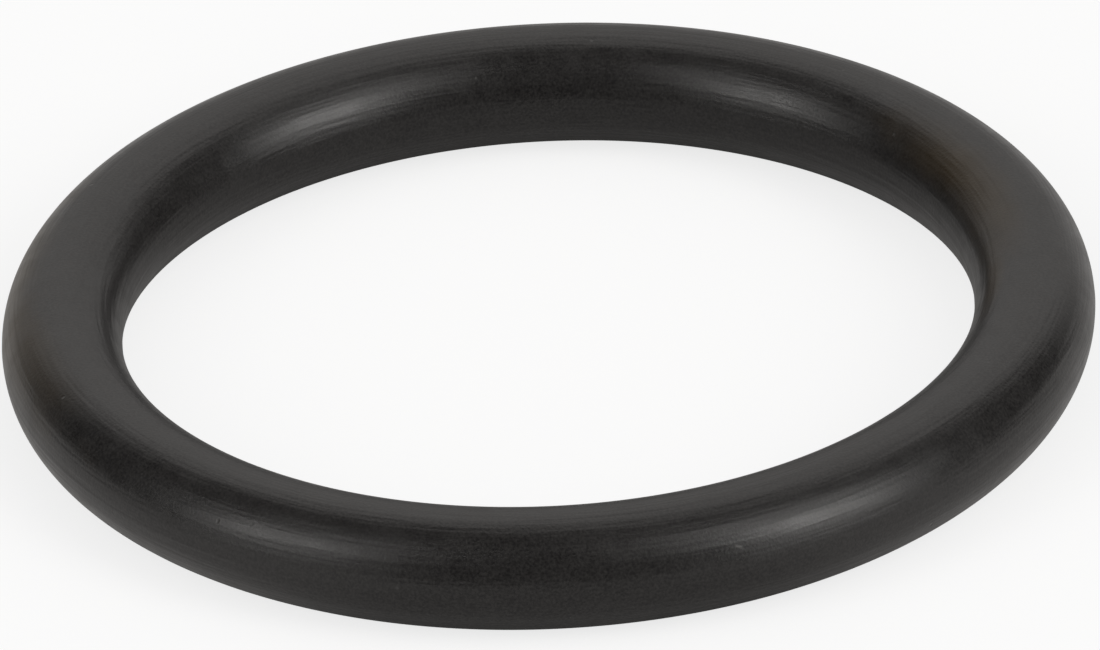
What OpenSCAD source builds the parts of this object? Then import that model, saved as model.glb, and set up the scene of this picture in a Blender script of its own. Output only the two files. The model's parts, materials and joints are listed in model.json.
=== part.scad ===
// Moulded rubber o-ring: one solid ring of round section, lying flat.
// The origin is the centre of the hole, in the plane where the two mould halves met.
// +Z is the axis that a shaft would run along. All sizes are in millimetres.

/* [Ring] */
// Inside diameter, across the hole
inner_d = 24.99; // [12:0.01:60]
// Diameter of the round section
section_d = 3.53; // [1.78:0.01:6.99]

/* [Parting line] */
// How far the trimmed bead of flash stands proud of the section
bead_h = 0.02; // [0.01:0.005:0.06]
// Width of the bead at its foot, where it leaves the section
bead_w = 0.16; // [0.1:0.01:0.3]

/* [Hidden] */
rubber_black = [0.14, 0.138, 0.135];
// Every circle is drawn as a true curve, and this sets how fine the preview is
$fn = 180;
section_r = section_d / 2;
// The middle of the section goes round the axis at this radius
section_centre_r = inner_d / 2 + section_r;
// The bead's foot spans a chord of the section, this far from the section's middle
foot = sqrt(section_r ^ 2 - (bead_w / 2) ^ 2);
// How high the bead's top is above that chord
rise = section_r + bead_h - foot;
// One arc makes the bead: it passes through both ends of the chord and through the top
crown_r = ((bead_w / 2) ^ 2 + rise ^ 2) / (2 * rise);
crown_centre = section_r + bead_h - crown_r;

// The bead that the mould's closed edge left: side is 1 on the outside of the ring, -1 in the hole
module bead(side) {
    translate([side * crown_centre, 0])
        circle(r = crown_r);
}

// The moulded section, a round with a bead at each end of the parting line
module moulded_section() {
    circle(r = section_r);
    for (side = [-1, 1])
        bead(side);
}

// The ring, which is its section turned once round the axis
module o_ring() {
    color(rubber_black)
        rotate_extrude()
            translate([section_centre_r, 0])
                moulded_section();
}

o_ring();
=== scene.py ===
# %% [markdown]
# A rubber o-ring
#
# An o-ring is a hoop of rubber with a round section. It is pressed in a hot mould of two halves,
# and it seals by being squeezed in a groove. The CAD model already holds its exact size and place.
# This script leaves both alone and gives the ring its looks: a fine mesh with the faint bead that
# the mould leaves, matt black rubber, and a small studio to see it in.

import json
import math

import bmesh
import bpy
import numpy as np
from mathutils import Matrix, Vector


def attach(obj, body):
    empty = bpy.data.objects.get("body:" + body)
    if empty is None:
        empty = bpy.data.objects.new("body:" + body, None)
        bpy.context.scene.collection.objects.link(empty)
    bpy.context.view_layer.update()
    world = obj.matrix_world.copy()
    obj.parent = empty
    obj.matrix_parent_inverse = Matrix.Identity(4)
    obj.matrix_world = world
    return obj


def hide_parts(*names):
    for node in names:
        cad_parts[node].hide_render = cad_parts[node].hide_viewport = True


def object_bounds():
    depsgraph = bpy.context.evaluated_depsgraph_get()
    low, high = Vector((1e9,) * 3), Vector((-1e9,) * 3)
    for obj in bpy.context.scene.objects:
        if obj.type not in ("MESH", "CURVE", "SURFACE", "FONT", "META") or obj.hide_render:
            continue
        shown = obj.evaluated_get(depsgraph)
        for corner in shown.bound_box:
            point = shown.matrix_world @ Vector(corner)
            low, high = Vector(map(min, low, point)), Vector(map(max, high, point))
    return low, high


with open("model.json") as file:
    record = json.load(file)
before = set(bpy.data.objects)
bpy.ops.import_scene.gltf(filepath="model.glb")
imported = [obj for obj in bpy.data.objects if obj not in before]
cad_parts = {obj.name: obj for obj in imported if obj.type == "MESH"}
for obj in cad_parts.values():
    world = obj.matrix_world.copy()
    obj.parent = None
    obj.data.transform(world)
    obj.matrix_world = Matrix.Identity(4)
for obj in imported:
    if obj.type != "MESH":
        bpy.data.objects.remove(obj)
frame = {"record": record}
cad_low, cad_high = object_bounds()
print("CAD box in mm:", [round(side * 1000, 3) for side in cad_high - cad_low])

# %% [markdown]
# Measure before making
#
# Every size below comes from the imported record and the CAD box, so the looks follow the CAD model
# if it is packed again at another size. The ring lies flat, with its axis along Z and the middle
# of its section in the plane z = 0, so the bench is one section radius further down.

# %% The ring's own sizes, in metres
MM = 0.001
mounts = {mount["name"]: mount["dims"] for mount in frame["record"]["mounts"]}
hole_radius = mounts["hole_seat"]["r_mm"] * MM
rim_radius = mounts["rim_seat"]["r_mm"] * MM
ring_radius = (rim_radius + hole_radius) / 2
section_radius = (rim_radius - hole_radius) / 2
bead_height = cad_high.x - rim_radius
bench_z = -section_radius
print(f"ring radius {ring_radius / MM:.3f} mm, section radius {section_radius / MM:.3f} mm")
print(f"bead of flash {bead_height / MM:.3f} mm high")

# %% [markdown]
# Point the camera first
#
# The picture looks down on the ring by about 30 degrees from far away, and it leans by 3 degrees.
# A ring's outline tells all of this: how round its ellipse is gives the height of the camera, the
# tilt of the ellipse gives the lean, and the near side is hardly larger than the far side, so the
# lens is long. The camera's three axes are worked out from those angles and written as a matrix.

# %% Camera
PICTURE_WIDTH = 1100
PICTURE_HEIGHT = 650
RING_CENTRE_PX = (548.3, 319.7)
RING_RADIUS_PX = 486.8
CAMERA_ELEVATION = math.radians(29.87)
CAMERA_LEAN = math.radians(3.05)
CAMERA_DISTANCE = 40 * ring_radius
NEAREST_SEEN = CAMERA_DISTANCE / 100
FARTHEST_SEEN = CAMERA_DISTANCE * 10
SENSOR_WIDTH = 36

level_side = Vector((1, 0, 0))
level_up = Vector((0, math.sin(CAMERA_ELEVATION), math.cos(CAMERA_ELEVATION)))
forward = Vector((0, math.cos(CAMERA_ELEVATION), -math.sin(CAMERA_ELEVATION)))
picture_side = level_side * math.cos(CAMERA_LEAN) - level_up * math.sin(CAMERA_LEAN)
picture_up = level_side * math.sin(CAMERA_LEAN) + level_up * math.cos(CAMERA_LEAN)

metres_per_px = ring_radius / RING_RADIUS_PX
right_of_middle = (RING_CENTRE_PX[0] - PICTURE_WIDTH / 2) * metres_per_px
above_middle = (PICTURE_HEIGHT / 2 - RING_CENTRE_PX[1]) * metres_per_px
aim = -picture_side * right_of_middle - picture_up * above_middle

camera_data = bpy.data.cameras.new("camera")
camera_data.sensor_width = SENSOR_WIDTH
camera_data.lens = SENSOR_WIDTH * CAMERA_DISTANCE / (PICTURE_WIDTH * metres_per_px)
camera_data.clip_start = NEAREST_SEEN
camera_data.clip_end = FARTHEST_SEEN
camera = bpy.data.objects.new("camera", camera_data)
camera_axes = Matrix((picture_side, picture_up, -forward)).transposed().to_4x4()
camera.matrix_world = Matrix.Translation(aim - forward * CAMERA_DISTANCE) @ camera_axes
bpy.context.scene.collection.objects.link(camera)
bpy.context.scene.camera = camera
print(f"camera {CAMERA_DISTANCE:.3f} m away with a {camera_data.lens:.0f} mm lens")

# %% [markdown]
# Helpers for node trees
#
# The ring's mesh and its rubber are both node trees. Three short helpers keep those trees readable:
# one adds a node and wires its inputs, one does a sum, and one opens a new group with named sockets.

# %% Helpers for node trees
def wire(tree, value, socket):
    """Links an output to an input, or sets the input to a plain value."""
    if isinstance(value, bpy.types.NodeSocket):
        tree.links.new(value, socket)
    else:
        socket.default_value = value


def add(tree, kind, inputs=(), **settings):
    """Adds a node, applies its settings and wires its inputs, given as name or number and value."""
    node = tree.nodes.new(kind)
    for name, value in settings.items():
        setattr(node, name, value)
    for name, value in dict(inputs).items():
        wire(tree, value, node.inputs[name])
    return node


def calc(tree, operation, *values):
    """One sum, such as calc(tree, "ADD", a, b). It returns the result's socket."""
    return add(tree, "ShaderNodeMath", dict(enumerate(values)), operation=operation).outputs[0]


def new_group(kind, name, inputs, outputs):
    """A node group with named inputs and outputs. It returns the tree, its inputs and its end."""
    tree = bpy.data.node_groups.new(name, kind)
    for title, socket_kind, start in inputs:
        socket = tree.interface.new_socket(title, in_out="INPUT", socket_type=socket_kind)
        if start is not None:
            socket.default_value = start
    for title, socket_kind in outputs:
        tree.interface.new_socket(title, in_out="OUTPUT", socket_type=socket_kind)
    start = tree.nodes.new("NodeGroupInput")
    end = tree.nodes.new("NodeGroupOutput")
    return tree, start.outputs, end.inputs


NUMBER = "NodeSocketFloat"
WHOLE = "NodeSocketInt"
VECTOR = "NodeSocketVector"
GEOMETRY = "NodeSocketGeometry"
MATERIAL = "NodeSocketMaterial"
print("node helpers ready")

# %% [markdown]
# The ring as a rule
#
# The shape follows a rule, a round section swept round a circle, so Geometry Nodes make it. The
# mould closes in the plane z = 0, and a little rubber creeps between its halves and is trimmed off
# again. That leaves a bead of a few hundredths of a millimetre on the outside and in the hole.
# The bead is narrow, so the points of the section are crowded together at both ends of the parting
# line and spread out elsewhere. After the sweep each point is lifted to the bead's round top, by a
# share that drifts round the ring, as a torn and trimmed edge does.

# %% Helper: where a point lies on the ring
def place_on_ring(tree, position, ring_radius):
    """The way outward from the axis, and the two distances from the middle of the section."""
    split = add(tree, "ShaderNodeSeparateXYZ", {0: position}).outputs
    flat = add(tree, "ShaderNodeCombineXYZ", {0: split[0], 1: split[1]}).outputs[0]
    from_axis = add(tree, "ShaderNodeVectorMath", {0: flat}, operation="LENGTH").outputs["Value"]
    outward = add(tree, "ShaderNodeVectorMath", {0: flat}, operation="NORMALIZE").outputs[0]
    return outward, calc(tree, "SUBTRACT", from_axis, ring_radius), split[2]


print("place on the ring ready")

# %% Helpers: the section and its bead
NOISE_LOW = 0.3
NOISE_HIGH = 0.7


def stretched(tree, value, low=0.0, high=1.0):
    """Noise hardly leaves its middle range. This stretches that range from low to high."""
    return add(tree, "ShaderNodeMapRange", {
        "Value": value, "From Min": NOISE_LOW, "From Max": NOISE_HIGH, "To Min": low, "To Max": high,
    }).outputs[0]


def crowded_section(tree, inputs):
    """The round section, with its points crowded at both ends of the parting line."""
    section = add(tree, "GeometryNodeCurvePrimitiveCircle",
                  {"Resolution": inputs["Steps Across"], "Radius": inputs["Section Radius"]})
    index = add(tree, "GeometryNodeInputIndex").outputs[0]
    turn = calc(tree, "MULTIPLY", calc(tree, "DIVIDE", index, inputs["Steps Across"]), math.tau)
    pull = calc(tree, "MULTIPLY", calc(tree, "SINE", calc(tree, "MULTIPLY", turn, 2)),
                calc(tree, "MULTIPLY", inputs["Crowding"], 0.5))
    angle = calc(tree, "SUBTRACT", turn, pull)
    place = add(tree, "ShaderNodeCombineXYZ", {
        0: calc(tree, "MULTIPLY", inputs["Section Radius"], calc(tree, "COSINE", angle)),
        1: calc(tree, "MULTIPLY", inputs["Section Radius"], calc(tree, "SINE", angle)),
    }).outputs[0]
    moved = add(tree, "GeometryNodeSetPosition", {"Geometry": section.outputs[0], "Position": place})
    return moved.outputs[0]


def bead_lift(tree, inputs, height):
    """How far the bead stands proud of the section: a soft ridge on the parting line, none beside it."""
    half_width = calc(tree, "MULTIPLY", inputs["Bead Width"], 0.5)
    aside = calc(tree, "MINIMUM", calc(tree, "DIVIDE", calc(tree, "ABSOLUTE", height), half_width), 1)
    ridge = calc(tree, "COSINE", calc(tree, "MULTIPLY", aside, math.pi))
    ridge = calc(tree, "MULTIPLY", calc(tree, "ADD", ridge, 1), 0.5)
    return calc(tree, "MULTIPLY", ridge, inputs["Bead Height"])


def bead_share(tree, inputs, outward):
    """The share of the bead that is left after trimming, which drifts round the ring."""
    drift = add(tree, "ShaderNodeTexNoise",
                {"Vector": outward, "W": inputs["Seed"], "Scale": inputs["Bead Drift"], "Detail": 4.0},
                noise_dimensions="4D")
    return stretched(tree, drift.outputs[0], inputs["Least Bead"], inputs["Most Bead"])


def beaded(tree, inputs, geometry):
    """Lifts the points near the parting line straight out of the section."""
    position = add(tree, "GeometryNodeInputPosition").outputs[0]
    outward, radial, height = place_on_ring(tree, position, inputs["Ring Radius"])
    sideways = add(tree, "ShaderNodeVectorMath", {0: outward, "Scale": radial}, operation="SCALE")
    upward = add(tree, "ShaderNodeCombineXYZ", {2: height})
    from_middle = add(tree, "ShaderNodeVectorMath", {0: sideways.outputs[0], 1: upward.outputs[0]},
                      operation="ADD")
    normal = add(tree, "ShaderNodeVectorMath", {0: from_middle.outputs[0]}, operation="NORMALIZE")
    lift = calc(tree, "MULTIPLY", bead_lift(tree, inputs, height), bead_share(tree, inputs, outward))
    offset = add(tree, "ShaderNodeVectorMath", {0: normal.outputs[0], "Scale": lift}, operation="SCALE")
    moved = add(tree, "GeometryNodeSetPosition", {"Geometry": geometry, "Offset": offset.outputs[0]})
    return moved.outputs[0]


print("section and bead ready")

# %% Geometry Nodes: the moulded ring
def build_ring_tree():
    """Sweeps the section round the ring, adds the bead and gives the result its material."""
    tree, inputs, end = new_group("GeometryNodeTree", "moulded_ring", [
        ("Ring Radius", NUMBER, 0.01),
        ("Section Radius", NUMBER, 0.001),
        ("Bead Height", NUMBER, 0.00003),
        ("Bead Width", NUMBER, 0.00012),
        ("Least Bead", NUMBER, 0.1),
        ("Most Bead", NUMBER, 0.5),
        ("Bead Drift", NUMBER, 5.0),
        ("Steps Along", WHOLE, 720),
        ("Steps Across", WHOLE, 136),
        ("Crowding", NUMBER, 0.8),
        ("Seed", NUMBER, 0.0),
        ("Material", MATERIAL, None),
    ], [("Geometry", GEOMETRY)])
    path = add(tree, "GeometryNodeCurvePrimitiveCircle",
               {"Resolution": inputs["Steps Along"], "Radius": inputs["Ring Radius"]})
    swept = add(tree, "GeometryNodeCurveToMesh",
                {"Curve": path.outputs[0], "Profile Curve": crowded_section(tree, inputs)})
    smooth = add(tree, "GeometryNodeSetShadeSmooth",
                 {"Geometry": beaded(tree, inputs, swept.outputs[0])})
    real = add(tree, "GeometryNodeRealizeInstances", {"Geometry": smooth.outputs[0]})
    dressed = add(tree, "GeometryNodeSetMaterial",
                  {"Geometry": real.outputs[0], "Material": inputs["Material"]})
    tree.links.new(dressed.outputs[0], end["Geometry"])
    return tree


ring_tree = build_ring_tree()
print("ring tree has", len(ring_tree.nodes), "nodes")

# %% [markdown]
# Sweep it and keep a plain mesh
#
# The tree is hung on an empty mesh as a modifier. Its inputs are set by each socket's identifier,
# and the result is read back as a plain mesh, so that nothing stays live. The number of steps keeps
# the piece under 200,000 triangles, with faces of about an eighth of a millimetre along the ring.
# The bead's foot is a touch wider than in the CAD model, because its sides run out softly.

# %% Helpers: run a Geometry Nodes tree and keep its result
def set_inputs(modifier, tree, values):
    """Sets a modifier's inputs, given by the names that the tree shows."""
    for item in tree.interface.items_tree:
        if item.item_type == "SOCKET" and item.in_out == "INPUT" and item.name in values:
            modifier[item.identifier] = values[item.name]


def grown(name, tree, values):
    """Runs a Geometry Nodes tree on an empty mesh and returns an object that holds its result."""
    piece = bpy.data.objects.new(name, bpy.data.meshes.new(name))
    bpy.context.scene.collection.objects.link(piece)
    modifier = piece.modifiers.new("grow", "NODES")
    modifier.node_group = tree
    set_inputs(modifier, tree, values)
    depsgraph = bpy.context.evaluated_depsgraph_get()
    result = bpy.data.meshes.new_from_object(piece.evaluated_get(depsgraph))
    piece.modifiers.remove(modifier)
    empty_mesh = piece.data
    piece.data = result
    piece.data.name = name
    bpy.data.meshes.remove(empty_mesh)
    return piece


# %% The ring's mesh
BEAD_WIDTH = 0.2 * MM
LEAST_BEAD = 0.05
MOST_BEAD = 0.35
BEAD_DRIFT = 5.0
BEAD_SEED = 3.0
STEPS_ALONG = 720
STEPS_ACROSS = 136
CROWDING = 0.8
rubber = bpy.data.materials.new("black_rubber")
ring = grown("moulded_ring", ring_tree, {
    "Ring Radius": ring_radius,
    "Section Radius": section_radius,
    "Bead Height": bead_height,
    "Bead Width": BEAD_WIDTH,
    "Least Bead": LEAST_BEAD,
    "Most Bead": MOST_BEAD,
    "Bead Drift": BEAD_DRIFT,
    "Steps Along": STEPS_ALONG,
    "Steps Across": STEPS_ACROSS,
    "Crowding": CROWDING,
    "Seed": BEAD_SEED,
    "Material": rubber,
})
ring.data.calc_loop_triangles()
points = np.array([vertex.co for vertex in ring.data.vertices])
print(f"{len(points)} points and {len(ring.data.loop_triangles)} triangles")
print("mesh box in mm:", np.round((points.max(0) - points.min(0)) / MM, 3))

# %% [markdown]
# Lay the skin out flat
#
# A map of the skin keeps the patterns sharp when the ring is baked for other programs. Cut open and
# laid flat, the skin is a band eight times longer than it is wide, which would waste most of a
# square picture. Cut in three and stacked, it is nearly square. Each face is placed by the angle of
# its own middle, so the faces at a cut aren't stretched across the whole map.

# %% Map of the ring's skin
def ring_angles(points, ring_radius):
    """Angle round the ring and angle round the section of each point, in turns."""
    from_axis = np.hypot(points[:, 0], points[:, 1])
    along = np.arctan2(points[:, 1], points[:, 0]) / math.tau
    across = np.arctan2(points[:, 2], from_axis - ring_radius) / math.tau
    return np.stack([along, across], 1)


def map_skin(piece, ring_radius, section_radius, strips=3, gap=0.01):
    """Lays the skin out as strips that are stacked in the unit square, all at one scale."""
    mesh = piece.data
    corner_point = np.empty(len(mesh.loops), int)
    mesh.loops.foreach_get("vertex_index", corner_point)
    sides = len(mesh.loops) // len(mesh.polygons)
    points = np.array([vertex.co for vertex in mesh.vertices])
    middles = points[corner_point].reshape(-1, sides, 3).mean(1)
    middle = ring_angles(middles, ring_radius) % 1
    corner = ring_angles(points[corner_point], ring_radius).reshape(-1, sides, 2)
    corner = middle[:, None] + (corner - middle[:, None] + 0.5) % 1 - 0.5
    strip = np.floor(middle[:, 0] * strips)[:, None]
    strip_length = math.tau * ring_radius / strips
    strip_width = math.tau * section_radius
    scale = (1 - gap) / max(strip_length, strips * strip_width * (1 + gap))
    u = (corner[..., 0] * strips - strip) * strip_length * scale + gap / 2
    v = (corner[..., 1] + strip * (1 + gap)) * strip_width * scale + gap / 2
    layer = mesh.uv_layers.new(name="OFBake")
    layer.data.foreach_set("uv", np.stack([u, v], -1).ravel())
    return u, v


u, v = map_skin(ring, ring_radius, section_radius)
print(f"map reaches from {u.min():.3f}, {v.min():.3f} to {u.max():.3f}, {v.max():.3f}")

# %% [markdown]
# Where a pattern lies on the ring
#
# The mould was turned on a lathe, and its fine rings print on the rubber as faint streaks that run
# along the ring. Every pattern here reads the Object coordinates, which are the CAD frame in metres.
# The streaks use four numbers that have no cut anywhere: the two distances from the middle of the
# section, and the sine and cosine of the angle round the ring. Noise that is fine in the first two
# and slow in the others makes streaks. A node group keeps the pattern in one place, and its inputs
# are real sizes.

# %% Node group: tool marks
SHADER = "ShaderNodeTree"


def build_tool_marks():
    """Streaks along the ring, left by the lathe that cut the mould."""
    tree, inputs, end = new_group(SHADER, "tool_marks", [
        ("Vector", VECTOR, None),
        ("Ring Radius", NUMBER, 0.01),
        ("Line Width", NUMBER, 0.0001),
        ("Line Length", NUMBER, 0.2),
    ], [("Height", NUMBER)])
    outward, radial, height = place_on_ring(tree, inputs["Vector"], inputs["Ring Radius"])
    direction = add(tree, "ShaderNodeSeparateXYZ", {0: outward}).outputs
    slow = calc(tree, "DIVIDE", 1.0, inputs["Line Length"])
    place = add(tree, "ShaderNodeCombineXYZ", {
        0: calc(tree, "DIVIDE", radial, inputs["Line Width"]),
        1: calc(tree, "DIVIDE", height, inputs["Line Width"]),
        2: calc(tree, "MULTIPLY", direction[0], slow),
    }).outputs[0]
    fine = add(tree, "ShaderNodeTexNoise", {
        "Vector": place,
        "W": calc(tree, "MULTIPLY", direction[1], slow),
        "Scale": 1.0,
        "Detail": 1.0,
        "Roughness": 0.6,
    }, noise_dimensions="4D")
    tree.links.new(fine.outputs[0], end["Height"])
    return tree


tool_marks = build_tool_marks()
print("tool marks has", len(tool_marks.nodes), "nodes")

# %% [markdown]
# Grain and clouds
#
# Between the streaks the skin has a fine grain, the same in all directions, and slow soft clouds
# where the rubber flowed into the mould a little unevenly. Both are noise in space, one small and
# one large. The grain gives a height for the bump and a tone for the colour, the clouds a tone only.

# %% Node group: grain
def noise(tree, place, size, detail, roughness=0.5, distortion=0.0):
    """Noise in space, with lumps of about the given size."""
    return add(tree, "ShaderNodeTexNoise", {
        "Vector": place,
        "Scale": calc(tree, "DIVIDE", 1.0, size),
        "Detail": detail,
        "Roughness": roughness,
        "Distortion": distortion,
    }).outputs[0]


def build_grain():
    """The fine grain of moulded rubber, the same in all directions."""
    tree, inputs, end = new_group(SHADER, "grain", [
        ("Vector", VECTOR, None),
        ("Grain Size", NUMBER, 0.0001),
    ], [("Height", NUMBER), ("Tone", NUMBER)])
    fine = noise(tree, inputs["Vector"], inputs["Grain Size"], detail=1.0)
    tree.links.new(fine, end["Height"])
    tree.links.new(stretched(tree, fine), end["Tone"])
    return tree


grain = build_grain()
print("grain has", len(grain.nodes), "nodes")

# %% Node group: mottle
def build_mottle():
    """Slow soft clouds in the skin, where the rubber filled the mould a little unevenly."""
    tree, inputs, end = new_group(SHADER, "mottle", [
        ("Vector", VECTOR, None),
        ("Cloud Size", NUMBER, 0.001),
    ], [("Tone", NUMBER)])
    cloud = noise(tree, inputs["Vector"], inputs["Cloud Size"], detail=3.0, roughness=0.55, distortion=0.4)
    tree.links.new(stretched(tree, cloud), end["Tone"])
    return tree


mottle = build_mottle()
print("mottle has", len(mottle.nodes), "nodes")

# %% [markdown]
# Bloom, painted sheen and handling
#
# Wax and oils creep out of rubber as it ages and leave a thin brown bloom, which settles in soft
# patches. The brown patches here sit at the ring's left and right sides, where the rubber is seen at
# a slant, so they are partly that bloom and partly a painted warm sheen. A patch is given by its
# middle, as an angle round the ring and an angle round the section, and by its half length and half
# width as angles too. It is full near its middle and fades until it is gone just past its half size,
# and noise makes its edge ragged. The same group makes a scratch, which is a patch that is very short
# along the ring and slants across it.

# %% Node group: patch
PATCH_GONE = 1.1
PATCH_FULL = 0.1


def soft_step(tree, value, start, stop, low=0.0, high=1.0):
    """Goes smoothly from low to high while the value goes from start to stop."""
    return add(tree, "ShaderNodeMapRange", {
        "Value": value, "From Min": start, "From Max": stop, "To Min": low, "To Max": high,
    }, interpolation_type="SMOOTHSTEP").outputs[0]


def build_patch():
    """A soft ragged patch on the skin. The mask is 1 in its middle and 0 outside it."""
    tree, inputs, end = new_group(SHADER, "patch", [
        ("Vector", VECTOR, None),
        ("Ring Radius", NUMBER, 0.01),
        ("Turn", NUMBER, 0.0),
        ("Roll", NUMBER, 0.0),
        ("Half Length", NUMBER, 0.3),
        ("Half Width", NUMBER, 0.3),
        ("Slant", NUMBER, 0.0),
        ("Raggedness", NUMBER, 0.8),
        ("Rag Size", NUMBER, 0.002),
    ], [("Mask", NUMBER)])
    outward, radial, height = place_on_ring(tree, inputs["Vector"], inputs["Ring Radius"])
    split = add(tree, "ShaderNodeSeparateXYZ", {0: outward}).outputs
    turn = calc(tree, "SUBTRACT", calc(tree, "ARCTAN2", split[1], split[0]), inputs["Turn"])
    roll = calc(tree, "SUBTRACT", calc(tree, "ARCTAN2", height, radial), inputs["Roll"])
    turn = calc(tree, "WRAP", turn, math.pi, -math.pi)
    roll = calc(tree, "WRAP", roll, math.pi, -math.pi)
    turn = calc(tree, "SUBTRACT", turn, calc(tree, "MULTIPLY", roll, inputs["Slant"]))
    along = calc(tree, "DIVIDE", turn, inputs["Half Length"])
    across = calc(tree, "DIVIDE", roll, inputs["Half Width"])
    offset = add(tree, "ShaderNodeCombineXYZ", {0: along, 1: across}).outputs[0]
    distance = add(tree, "ShaderNodeVectorMath", {0: offset}, operation="LENGTH").outputs["Value"]
    rag = noise(tree, inputs["Vector"], inputs["Rag Size"], detail=4.0)
    push = calc(tree, "MULTIPLY", calc(tree, "SUBTRACT", rag, 0.5), inputs["Raggedness"])
    mask = soft_step(tree, calc(tree, "ADD", distance, push), PATCH_GONE, PATCH_FULL)
    tree.links.new(mask, end["Mask"])
    return tree


patch = build_patch()
print("patch has", len(patch.nodes), "nodes")

# %% [markdown]
# Nicks
#
# A few tiny nicks come from random points in space. Where such a point lies close to the skin, it
# leaves a small round dent. Voronoi cells hold one point each, so their size spaces the nicks.

# %% Node group: nicks
def build_nicks():
    """A few tiny dents, each at a random point in space that lies close to the skin."""
    tree, inputs, end = new_group(SHADER, "nicks", [
        ("Vector", VECTOR, None),
        ("Spacing", NUMBER, 0.002),
        ("Size", NUMBER, 0.0001),
    ], [("Height", NUMBER), ("Mask", NUMBER)])
    cells = add(tree, "ShaderNodeTexVoronoi", {
        "Vector": inputs["Vector"],
        "Scale": calc(tree, "DIVIDE", 1.0, inputs["Spacing"]),
    })
    reach = calc(tree, "DIVIDE", inputs["Size"], inputs["Spacing"])
    mask = soft_step(tree, cells.outputs["Distance"], reach, 0.0)
    tree.links.new(mask, end["Mask"])
    tree.links.new(calc(tree, "SUBTRACT", 1.0, mask), end["Height"])
    return tree


nicks = build_nicks()
print("nicks has", len(nicks.nodes), "nodes")

# %% [markdown]
# Black rubber
#
# Carbon black makes the rubber almost black, and its skin is a dull satin: a light in it is a soft
# glow and not a sharp spot. The base colour drifts a little with the grain and the clouds, and the
# roughness with the clouds alone, because fine changes of roughness would look like dust.

# %% Helpers: groups, blends and bumps
def use_group(tree, group, inputs):
    """Puts a node group into a tree, wires its inputs by name and returns its outputs."""
    node = add(tree, "ShaderNodeGroup", node_tree=group)
    for name, value in inputs.items():
        wire(tree, value, node.inputs[name])
    return node.outputs


def blend(tree, factor, low, high):
    """Mixes two colours, each given as a socket or as red, green and blue."""
    node = add(tree, "ShaderNodeMix", data_type="RGBA")
    colours = [socket for socket in node.inputs if socket.type == "RGBA"]
    wire(tree, factor, node.inputs[0])
    for value, socket in zip((low, high), colours):
        wire(tree, value if isinstance(value, bpy.types.NodeSocket) else (*value, 1), socket)
    return [socket for socket in node.outputs if socket.type == "RGBA"][0]


def blend_numbers(tree, factor, low, high):
    """Mixes two numbers."""
    gap = calc(tree, "SUBTRACT", high, low)
    return calc(tree, "MULTIPLY_ADD", gap, factor, low)


def bumped(tree, height, depth, normal=None):
    """Turns a height from 0 to 1 into a normal. Another bump's normal can be passed on."""
    node = add(tree, "ShaderNodeBump", {"Height": height, "Distance": depth})
    if normal is not None:
        tree.links.new(normal, node.inputs["Normal"])
    return node.outputs[0]


print("blends and bumps ready")

# %% [markdown]
# Sizes and shades of the skin
#
# The sizes and depths are small against the section, which is 3.5 mm thick, so the ring reads as
# smooth from a step away and as moulded rubber up close. A brown patch, partly bloom and partly a
# painted warm sheen, is a line of five numbers: its angle round the ring and round the section, its
# half length and half width as angles, all in degrees, and its strength. The ring has one clear
# scratch, near the glow at the front right. The length of a streak is a share of the ring's radius,
# and the clouds' share is how much of the shade they set. The grain sets the rest.

# %% Values for the skin
LINE_WIDTH = 0.18 * MM
LINE_LENGTH = 0.25
LINE_DEPTH = 0.019 * MM
GRAIN_SIZE = 0.08 * MM
GRAIN_DEPTH = 0.0045 * MM
CLOUD_SIZE = 0.9 * MM
CLOUD_SHARE = 0.2
NICK_SPACING = 1.6 * MM
NICK_SIZE = 0.09 * MM
NICK_DEPTH = 0.012 * MM
NICK_STRENGTH = 0.4
DARK_SKIN = (0.0066, 0.0058, 0.0059)
PALE_SKIN = (0.0215, 0.0201, 0.0192)
# The brown of the patches: partly bloom, partly a painted warm sheen where the rubber is seen at a slant.
BLOOM_AND_SHEEN_BROWN = (0.0270, 0.0160, 0.0035)
SCUFF_GREY = (0.060, 0.058, 0.055)
LEAST_ROUGH = 0.29
MOST_ROUGH = 0.38
# Brown patches at the ring's left and right sides, partly bloom and partly a painted warm sheen.
BLOOM_AND_SHEEN_PATCHES = [
    (18, 121, 24, 38, 0.85),
    (353, 130, 12, 16, 0.6),
    (170, 30, 37, 44, 1.0),
    (191, 58, 17, 26, 0.35),
]
SCRATCH_PATCH = (288.8, 26.8, 0.34, 3.2, 1.0)
SCRATCH_SLANT = -0.12
print(len(BLOOM_AND_SHEEN_PATCHES), "patches of bloom and one scratch")

# %% [markdown]
# Put the rubber together
#
# Grain and clouds together pick the shade between dark and pale skin, and the clouds alone pick the
# roughness. The brown patches, partly bloom and partly a painted warm sheen, the scratch and the nicks
# are laid over that colour one after another. The three bumps are chained, so each one starts from
# the surface that the one before left.

# %% Material: black rubber
def clean_tree(holder):
    """Switches a material or world to nodes and hands back its tree, emptied."""
    holder.use_nodes = True
    holder.node_tree.nodes.clear()
    return holder.node_tree


def end_tree(tree, output, surface):
    """Ends a tree with its output node."""
    tree.links.new(surface, add(tree, output).inputs["Surface"])


def patched(tree, place, below, colour, turn, roll, half_length, half_width, strength, slant=0.0):
    """Lays one patch of a colour over the colour below it."""
    mask = use_group(tree, patch, {
        "Vector": place,
        "Ring Radius": ring_radius,
        "Turn": math.radians(turn),
        "Roll": math.radians(roll),
        "Half Length": math.radians(half_length),
        "Half Width": math.radians(half_width),
        "Slant": slant,
    })["Mask"]
    return blend(tree, calc(tree, "MULTIPLY", mask, strength), below, colour)


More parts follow.
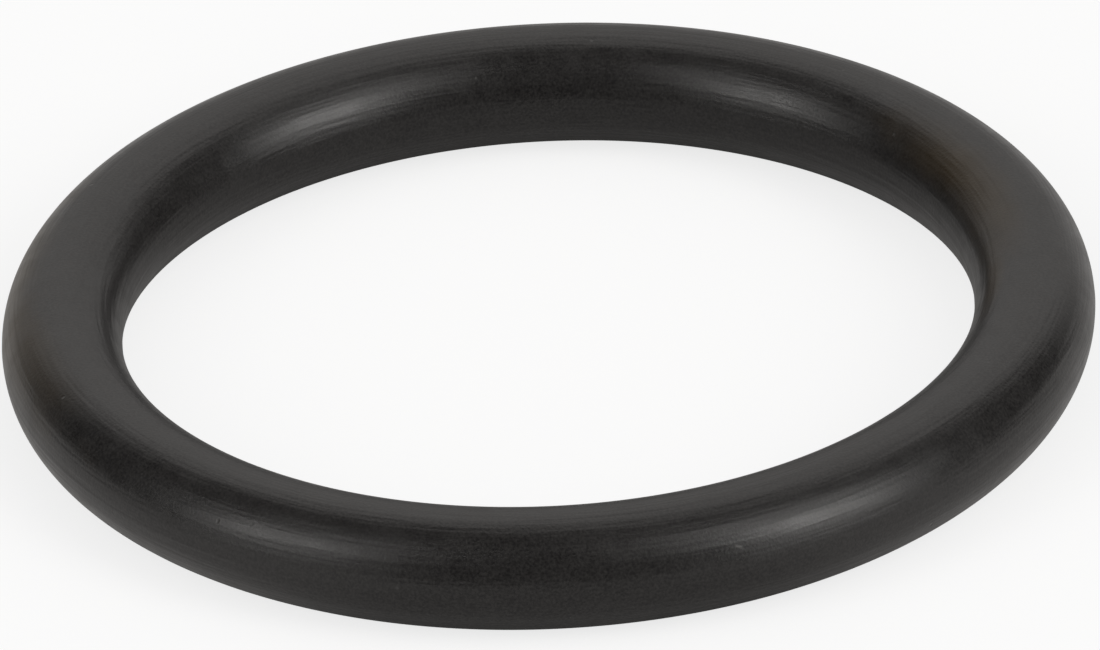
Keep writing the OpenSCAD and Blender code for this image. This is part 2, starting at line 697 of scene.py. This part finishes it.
def build_rubber(material):
    """The finish of the whole ring: its shades, its roughness and its three bumps."""
    tree = clean_tree(material)
    place = add(tree, "ShaderNodeTexCoord").outputs["Object"]
    marks = use_group(tree, tool_marks, {
        "Vector": place,
        "Ring Radius": ring_radius,
        "Line Width": LINE_WIDTH,
        "Line Length": LINE_LENGTH,
    })
    grains = use_group(tree, grain, {"Vector": place, "Grain Size": GRAIN_SIZE})
    clouds = use_group(tree, mottle, {"Vector": place, "Cloud Size": CLOUD_SIZE})
    dents = use_group(tree, nicks, {"Vector": place, "Spacing": NICK_SPACING, "Size": NICK_SIZE})

    tone = blend_numbers(tree, CLOUD_SHARE, grains["Tone"], clouds["Tone"])
    colour = blend(tree, tone, DARK_SKIN, PALE_SKIN)
    # The brown patches: partly bloom, partly a painted warm sheen at the ring's sides.
    for bloom_and_sheen_patch in BLOOM_AND_SHEEN_PATCHES:
        colour = patched(tree, place, colour, BLOOM_AND_SHEEN_BROWN, *bloom_and_sheen_patch)
    colour = patched(tree, place, colour, SCUFF_GREY, *SCRATCH_PATCH, slant=SCRATCH_SLANT)
    colour = blend(tree, calc(tree, "MULTIPLY", dents["Mask"], NICK_STRENGTH), colour, SCUFF_GREY)
    rough = blend_numbers(tree, clouds["Tone"], LEAST_ROUGH, MOST_ROUGH)
    skin = bumped(tree, marks["Height"], LINE_DEPTH)
    skin = bumped(tree, grains["Height"], GRAIN_DEPTH, skin)
    skin = bumped(tree, dents["Height"], NICK_DEPTH, skin)
    shader = add(tree, "ShaderNodeBsdfPrincipled", {
        "Base Color": colour,
        "Roughness": rough,
        "Normal": skin,
    })
    end_tree(tree, "ShaderNodeOutputMaterial", shader.outputs[0])


build_rubber(rubber)
print("rubber has", len(rubber.node_tree.nodes), "nodes")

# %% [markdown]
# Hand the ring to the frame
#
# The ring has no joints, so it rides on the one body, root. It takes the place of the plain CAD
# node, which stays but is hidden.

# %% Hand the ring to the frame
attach(ring, "root")
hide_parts("o_ring")
print("the ring rides on root")

# %% [markdown]
# A small studio
#
# The ring lies on white. The room in front of it is dark, which gives the dark band along its near
# side, and a bright backdrop behind it lights its top. Two tall soft lamps at the front left and the
# front right make the four glows. The floor comes first: it is pale and keeps the ring's soft
# shadow. To the camera most of it is plain white, whatever light falls on it, so the background is
# white without more light on the rubber.

# %% Helpers for the studio
def seen_directly(tree):
    """1 for rays from the camera, a gloss or clear glass, and 0 for rays that only carry light."""
    ray = add(tree, "ShaderNodeLightPath").outputs
    seen = calc(tree, "MAXIMUM", ray["Is Camera Ray"], ray["Is Glossy Ray"])
    return calc(tree, "MAXIMUM", seen, ray["Is Transmission Ray"])


def stand(name, mesh, material):
    """Puts a mesh in the studio, as scenery that isn't part of the object."""
    mesh.materials.append(material)
    scenery = bpy.data.objects.new(name, mesh)
    bpy.context.scene.collection.objects.link(scenery)
    return scenery


def level_sheet(name, reach, height):
    """A square level sheet that reaches equally far each way from the ring."""
    mesh = bpy.data.meshes.new(name)
    corners = [(-reach, -reach), (reach, -reach), (reach, reach), (-reach, reach)]
    mesh.from_pydata([(x, y, height) for x, y in corners], [], [(0, 1, 2, 3)])
    return mesh


print("studio helpers ready")

# %% Floor
WHITE = (1, 1, 1, 1)
FLOOR_COLOUR = (0.95, 0.95, 0.95, 1)
FLOOR_REACH = 2.0
PLAIN_WHITE_SHARE = 0.78


def build_floor_material():
    """Pale and matt, so it takes the shadow, with plain white mixed in for the camera."""
    material = bpy.data.materials.new("pale_floor")
    tree = clean_tree(material)
    lit = add(tree, "ShaderNodeBsdfDiffuse", {"Color": FLOOR_COLOUR})
    plain = add(tree, "ShaderNodeEmission", {"Color": WHITE, "Strength": 1.0})
    share = calc(tree, "MULTIPLY", seen_directly(tree), PLAIN_WHITE_SHARE)
    mix = add(tree, "ShaderNodeMixShader", {0: share, 1: lit.outputs[0], 2: plain.outputs[0]})
    end_tree(tree, "ShaderNodeOutputMaterial", mix.outputs[0])
    return material


stand("floor", level_sheet("floor", FLOOR_REACH, bench_z), build_floor_material())
print("floor at", round(bench_z / MM, 3), "mm")

# %% [markdown]
# The white room
#
# The world is white to the camera and in the gloss. It lights the ring with half that strength, so
# that the lamps can do the rest without making the rubber too pale.

# %% World
WORLD_LIGHT = 0.5


def build_world():
    """White to the camera and in the gloss, and dimmer as a light."""
    world = bpy.data.worlds.new("white_room")
    tree = clean_tree(world)
    strength = blend_numbers(tree, seen_directly(tree), WORLD_LIGHT, 1.0)
    background = add(tree, "ShaderNodeBackground", {"Color": WHITE, "Strength": strength})
    end_tree(tree, "ShaderNodeOutputWorld", background.outputs[0])
    return world


bpy.context.scene.world = build_world()
print("world ready")

# %% [markdown]
# Two tall lamps
#
# A glow on a round bar has the outline of its lamp, and these glows are taller than they are wide,
# so each lamp is an upright soft box. Three far suns, one above the other, stand in for it: being
# far away, they light the floor evenly. Light from a sun reaches the gloss in two ways, by aiming at
# the sun and by chance. The dark cards below would stop the second way only, so it is switched off
# for the lamps and all their light takes the first.

# %% Lamps
LAMP_COLOUR = (1, 0.985, 0.96)
LAMP_TIERS = [(-1, 0.35, 40), (0, 0.34, 25), (1, 0.31, 40)]


def towards(azimuth, elevation):
    """A direction: azimuth 0 points to the camera's side and 90 to the right, both in degrees."""
    turn, rise = math.radians(azimuth), math.radians(elevation)
    return Vector((math.sin(turn) * math.cos(rise), -math.cos(turn) * math.cos(rise), math.sin(rise)))


def tall_lamp(name, azimuth, elevation, strength, spacing):
    """Three soft suns, each with a step up or down, a share of the light and a width in degrees."""
    for step, share, width in LAMP_TIERS:
        data = bpy.data.lights.new(name, "SUN")
        data.energy = strength * share
        data.angle = math.radians(width)
        data.color = LAMP_COLOUR
        data.cycles.use_multiple_importance_sampling = False
        lamp = bpy.data.objects.new(name, data)
        lamp.rotation_mode = "QUATERNION"
        direction = towards(azimuth, elevation + step * spacing)
        lamp.rotation_quaternion = direction.to_track_quat("Z", "Y")
        lamp.visible_camera = False
        bpy.context.scene.collection.objects.link(lamp)


tall_lamp("right_lamp", azimuth=58, elevation=33, strength=1.58, spacing=17)
tall_lamp("left_lamp", azimuth=-63, elevation=32, strength=0.88, spacing=15)
print("two tall lamps of", len(LAMP_TIERS), "suns each")

# %% [markdown]
# Dark cards
#
# Black rubber shows hardly anything but its gloss, so its look depends on what the gloss finds. In a
# plain white room it would turn grey all over. Dark cards give it a dark room to mirror: a dome that
# is open towards the backdrop, and a sheet on the bench that carries painted shade. Only the gloss
# sees them. They cast no shadow, and the floor stays white behind the ring.

# %% Helpers: cards that only the gloss sees
CARD_BLACK = (0.02, 0.02, 0.02, 1)
CARD_CLEAR = (1, 0.975, 0.95, 1)


def card_material(name, cover):
    """A dark sheet that hides a share of what is behind it."""
    material = bpy.data.materials.new(name)
    tree = clean_tree(material)
    clear = add(tree, "ShaderNodeBsdfTransparent", {"Color": CARD_CLEAR})
    dark = add(tree, "ShaderNodeEmission", {"Color": CARD_BLACK, "Strength": 1.0})
    mix = add(tree, "ShaderNodeMixShader", {0: cover(tree), 1: clear.outputs[0], 2: dark.outputs[0]})
    end_tree(tree, "ShaderNodeOutputMaterial", mix.outputs[0])
    return material


def gloss_only(card):
    """Shows a card in the gloss alone."""
    card.visible_camera = False
    card.visible_diffuse = False
    card.visible_shadow = False
    card.visible_transmission = False


print("card helpers ready")

# %% [markdown]
# The dome and its opening
#
# The opening faces the backdrop and leans a little to the right. It has soft edges at both sides and
# at its top, and it is dimmer low down, most of all in its middle, where the backdrop meets the
# bench. Each edge is a pair of angles between which the dome goes from dark to open.

# %% Dark dome
CARD_REACH = 0.3
OPENING_LEAN = 0.2
SIDE_EDGE = (math.radians(58), math.radians(34))
TOP_EDGE = (math.radians(86), math.radians(75))
MIDDLE_EDGE = (math.radians(8), math.radians(35))
RISE_EDGE = (0, math.radians(52))
LOW_MIDDLE = 0.36
LOW_SIDE = 0.55
OPEN_SHARE = 0.95


def dome_cover(tree):
    """Dark all round except for a wide soft opening over the backdrop."""
    place = add(tree, "ShaderNodeTexCoord").outputs["Object"]
    direction = add(tree, "ShaderNodeVectorMath", {0: place}, operation="NORMALIZE").outputs[0]
    split = add(tree, "ShaderNodeSeparateXYZ", {0: direction}).outputs
    aside = calc(tree, "SUBTRACT", split[0], calc(tree, "MULTIPLY", split[2], OPENING_LEAN))
    turn = calc(tree, "ARCTAN2", calc(tree, "ABSOLUTE", aside), split[1])
    tilt = calc(tree, "ARCTAN2", split[2], split[1])
    rise = calc(tree, "ARCSINE", split[2])
    sides = soft_step(tree, turn, *SIDE_EDGE)
    top = soft_step(tree, tilt, *TOP_EDGE)
    low = soft_step(tree, turn, *MIDDLE_EDGE, LOW_MIDDLE, LOW_SIDE)
    level = soft_step(tree, rise, *RISE_EDGE, low, OPEN_SHARE)
    opening = calc(tree, "MULTIPLY", calc(tree, "MULTIPLY", sides, top), level)
    return calc(tree, "SUBTRACT", 1, opening)


def half_ball(name, radius, height):
    """The part of a ball that stands above a height."""
    mesh = bpy.data.meshes.new(name)
    shell = bmesh.new()
    bmesh.ops.create_uvsphere(shell, u_segments=60, v_segments=30, radius=radius)
    whole = shell.verts[:] + shell.edges[:] + shell.faces[:]
    bmesh.ops.bisect_plane(shell, geom=whole, plane_co=(0, 0, height), plane_no=(0, 0, 1), clear_inner=True)
    shell.to_mesh(mesh)
    shell.free()
    return mesh


dome_mesh = half_ball("dark_dome", CARD_REACH, bench_z)
gloss_only(stand("dark_dome", dome_mesh, card_material("dark_dome", dome_cover)))
print("dome of", len(dome_mesh.polygons), "faces")

# %% [markdown]
# The sheet of painted shade on the bench
#
# The low sides of the ring mirror the bench, and this sheet paints the bench's shade into that
# mirror. It is dark in the hole and straight in front of the ring, where the ring shades the bench,
# paler beside and behind it and at the near edge of the hole, and darkest close under the rubber,
# where little light gets in.

# %% Sheet of painted shade on the bench
SHEET_LIFT = 0.05 * MM
SHEET_COVER = 0.65
PALER_BY = 0.25
SHADE_UNDER_BY = 0.3
BESIDE_EDGE = (0.3 * ring_radius, 0.9 * ring_radius)
BEHIND_EDGE = (-hole_radius, 0)
NEAR_EDGE = (-0.3 * ring_radius, -0.7 * ring_radius)
UNDER_EDGE = (section_radius, 0.4 * section_radius)


def painted_shade_cover(tree):
    """Painted shade: darker in the hole and straight in front of the ring, and paler elsewhere on the
    bench.
    """
    place = add(tree, "ShaderNodeTexCoord").outputs["Object"]
    split = add(tree, "ShaderNodeSeparateXYZ", {0: place}).outputs
    from_ring = place_on_ring(tree, place, ring_radius)[1]
    outside = soft_step(tree, from_ring, -section_radius, section_radius)
    behind = soft_step(tree, split[1], *BEHIND_EDGE)
    beside = soft_step(tree, calc(tree, "ABSOLUTE", split[0]), *BESIDE_EDGE)
    near = soft_step(tree, split[1], *NEAR_EDGE)
    pale = blend_numbers(tree, outside, near, calc(tree, "MAXIMUM", behind, beside))
    # Painted shadow, darkest close under the rubber.
    under = soft_step(tree, calc(tree, "ABSOLUTE", from_ring), *UNDER_EDGE)
    cover = calc(tree, "SUBTRACT", SHEET_COVER, calc(tree, "MULTIPLY", pale, PALER_BY))
    return calc(tree, "MULTIPLY_ADD", under, SHADE_UNDER_BY, cover)


sheet_mesh = level_sheet("painted_shade_sheet", CARD_REACH, bench_z + SHEET_LIFT)
gloss_only(stand("painted_shade_sheet", sheet_mesh, card_material("painted_shade_sheet", painted_shade_cover)))
print("sheet", round(SHEET_LIFT / MM, 3), "mm above the floor")

# %% [markdown]
# The view
#
# The Standard view shows colours as they are written.

# %% View
bpy.context.scene.view_settings.view_transform = "Standard"
